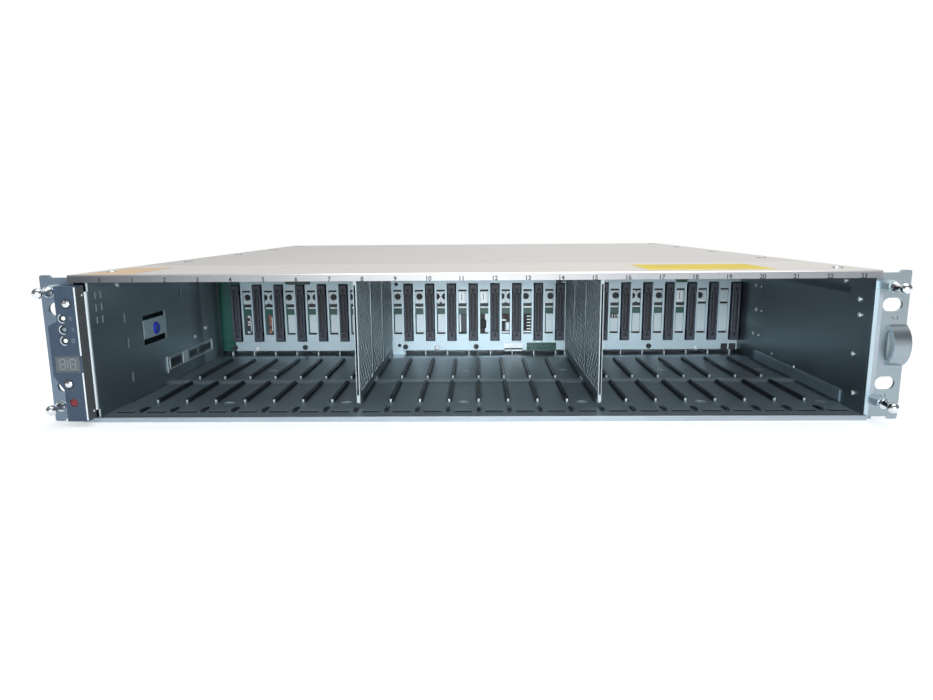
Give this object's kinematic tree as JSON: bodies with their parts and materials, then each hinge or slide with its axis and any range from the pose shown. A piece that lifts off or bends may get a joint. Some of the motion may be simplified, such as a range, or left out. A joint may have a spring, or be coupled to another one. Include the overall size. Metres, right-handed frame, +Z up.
{
  "type": "disk shelf enclosure",
  "caption": "Rack-mounted disk shelf chassis, two rack units high, with upright open drive bays, midplane connectors, operator panel, rear power supplies and I/O modules.",
  "frame": {"origin": "on the bottom face, in the middle of the body's width, in the plane of the rack ears' rear faces", "axes": "+X to the right seen from the front, +Y to the rear, +Z up"},
  "size_m": [0.4826, 0.5093, 0.0849],
  "materials": {
    "tray_steel": "zinc-plated sheet",
    "lip_steel": "brushed sheet",
    "cover_steel": "warm grey zinc-plated sheet",
    "screw_steel": "plated",
    "screw_dark": "dark, in shadow",
    "guide_slate": "dark slate",
    "divider_steel": "zinc-plated, perforated",
    "wall_zinc": "blue-grey zinc",
    "zinc": "pale blue zinc",
    "blue_plastic": "glossy blue",
    "board_green": "solder resist",
    "connector_slate": "dark slate",
    "ear_steel": "zinc-plated",
    "stud_chrome": "polished",
    "panel_plastic": "slate blue moulding",
    "light_plastic": "clear pipe",
    "display_plastic": "unlit",
    "window_plastic": "smoked",
    "red_plastic": "dull red",
    "ribbon_plastic": "grey",
    "module_steel": "plated",
    "fan_plastic": "black",
    "inlet_plastic": "black",
    "lever_steel": "grey",
    "port_steel": "plated"
  },
  "bodies": {
    "enclosure": {"chassis_tray": "tray_steel", "top_cover_front": "lip_steel", "top_cover_rear": "cover_steel", "cover_screws": "screw_steel", "floor_guide_plate": "guide_slate", "ceiling_guide_plate": "guide_slate", "divider_left": "divider_steel", "divider_right": "divider_steel", "inner_left_wall": "wall_zinc", "side_guides": "wall_zinc", "wall_rivets": "screw_steel", "release_leaf": "zinc", "midplane_stiffener": "zinc", "midplane_board": "board_green", "drive_connectors_left": "connector_slate", "drive_connectors_middle": "connector_slate", "drive_connectors_right": "connector_slate", "module_connectors": "connector_slate", "midplane_screws": "screw_dark", "left_ear": "ear_steel", "right_ear": "ear_steel", "ear_standoffs": "zinc", "ball_studs": "stud_chrome", "ops_panel_housing": "panel_plastic", "ops_panel_board": "board_green", "light_pipes": "light_plastic", "display_module": "display_plastic", "display_window": "window_plastic", "ops_panel_screws": "screw_steel", "ops_panel_ribbon": "ribbon_plastic", "rear_bay_frame": "tray_steel"},
    "release_button": {"blue_release_button": "blue_plastic"},
    "shelf_button": {"shelf_id_button": "red_plastic"},
    "supply_left": {"supply_left_case": "module_steel", "supply_left_fan_frames": "fan_plastic", "supply_left_inlet": "inlet_plastic", "supply_left_board": "board_green"},
    "supply_left_rotor_1": {"supply_left_rotor_1": "fan_plastic"},
    "supply_left_rotor_2": {"supply_left_rotor_2": "fan_plastic"},
    "supply_left_rocker": {"supply_left_rocker": "inlet_plastic"},
    "supply_left_lever": {"supply_left_lever": "lever_steel"},
    "supply_right": {"supply_right_case": "module_steel", "supply_right_fan_frames": "fan_plastic", "supply_right_inlet": "inlet_plastic", "supply_right_board": "board_green"},
    "supply_right_rotor_1": {"supply_right_rotor_1": "fan_plastic"},
    "supply_right_rotor_2": {"supply_right_rotor_2": "fan_plastic"},
    "supply_right_rocker": {"supply_right_rocker": "inlet_plastic"},
    "supply_right_lever": {"supply_right_lever": "lever_steel"},
    "module_lower": {"module_lower_case": "module_steel", "module_lower_board": "board_green", "module_lower_disk_ports": "port_steel", "module_lower_network_jacks": "port_steel"},
    "module_lower_lever": {"module_lower_lever": "lever_steel"},
    "module_upper": {"module_upper_case": "module_steel", "module_upper_board": "board_green", "module_upper_disk_ports": "port_steel", "module_upper_network_jacks": "port_steel"},
    "module_upper_lever": {"module_upper_lever": "lever_steel"}
  },
  "joints": [
    {"name": "release_button_press", "type": "slide", "parent": "enclosure", "child": "release_button", "axis": [-1, 0, 0], "range_m": [0, 0.002], "stiffness_N_per_m": 300, "springref_m": -0.001},
    {"name": "shelf_button_press", "type": "slide", "parent": "enclosure", "child": "shelf_button", "axis": [0, 1, 0], "range_m": [0, 0.0008], "stiffness_N_per_m": 300, "springref_m": -0.001},
    {"name": "supply_left_slide", "type": "slide", "parent": "enclosure", "child": "supply_left", "axis": [0, 1, 0], "range_m": [0, 0.27]},
    {"name": "supply_left_fan_1", "type": "hinge", "parent": "supply_left", "child": "supply_left_rotor_1", "pos_m": [-0.2008, 0.4674, 0.053], "axis": [0, 1, 0], "continuous": true},
    {"name": "supply_left_fan_2", "type": "hinge", "parent": "supply_left", "child": "supply_left_rotor_2", "pos_m": [-0.1596, 0.4674, 0.053], "axis": [0, 1, 0], "continuous": true},
    {"name": "supply_left_rocker_tilt", "type": "hinge", "parent": "supply_left", "child": "supply_left_rocker", "pos_m": [-0.169, 0.4744, 0.018], "axis": [1, 0, 0], "range_deg": [-10, 0]},
    {"name": "supply_left_lever_swing", "type": "hinge", "parent": "supply_left", "child": "supply_left_lever", "pos_m": [-0.128, 0.48, 0.0761], "axis": [1, 0, 0], "range_deg": [0, 85]},
    {"name": "supply_right_slide", "type": "slide", "parent": "enclosure", "child": "supply_right", "axis": [0, 1, 0], "range_m": [0, 0.27]},
    {"name": "supply_right_fan_1", "type": "hinge", "parent": "supply_right", "child": "supply_right_rotor_1", "pos_m": [0.1372, 0.4674, 0.053], "axis": [0, 1, 0], "continuous": true},
    {"name": "supply_right_fan_2", "type": "hinge", "parent": "supply_right", "child": "supply_right_rotor_2", "pos_m": [0.1784, 0.4674, 0.053], "axis": [0, 1, 0], "continuous": true},
    {"name": "supply_right_rocker_tilt", "type": "hinge", "parent": "supply_right", "child": "supply_right_rocker", "pos_m": [0.169, 0.4744, 0.018], "axis": [1, 0, 0], "range_deg": [-10, 0]},
    {"name": "supply_right_lever_swing", "type": "hinge", "parent": "supply_right", "child": "supply_right_lever", "pos_m": [0.21, 0.48, 0.0761], "axis": [1, 0, 0], "range_deg": [0, 85]},
    {"name": "module_lower_slide", "type": "slide", "parent": "enclosure", "child": "module_lower", "axis": [0, 1, 0], "range_m": [0, 0.27]},
    {"name": "module_lower_lever_swing", "type": "hinge", "parent": "module_lower", "child": "module_lower_lever", "pos_m": [0.1022, 0.48, 0.0343], "axis": [1, 0, 0], "range_deg": [0, 85]},
    {"name": "module_upper_slide", "type": "slide", "parent": "enclosure", "child": "module_upper", "axis": [0, 1, 0], "range_m": [0, 0.27]},
    {"name": "module_upper_lever_swing", "type": "hinge", "parent": "module_upper", "child": "module_upper_lever", "pos_m": [0.1022, 0.48, 0.0759], "axis": [1, 0, 0], "range_deg": [0, 85]}
  ]
}
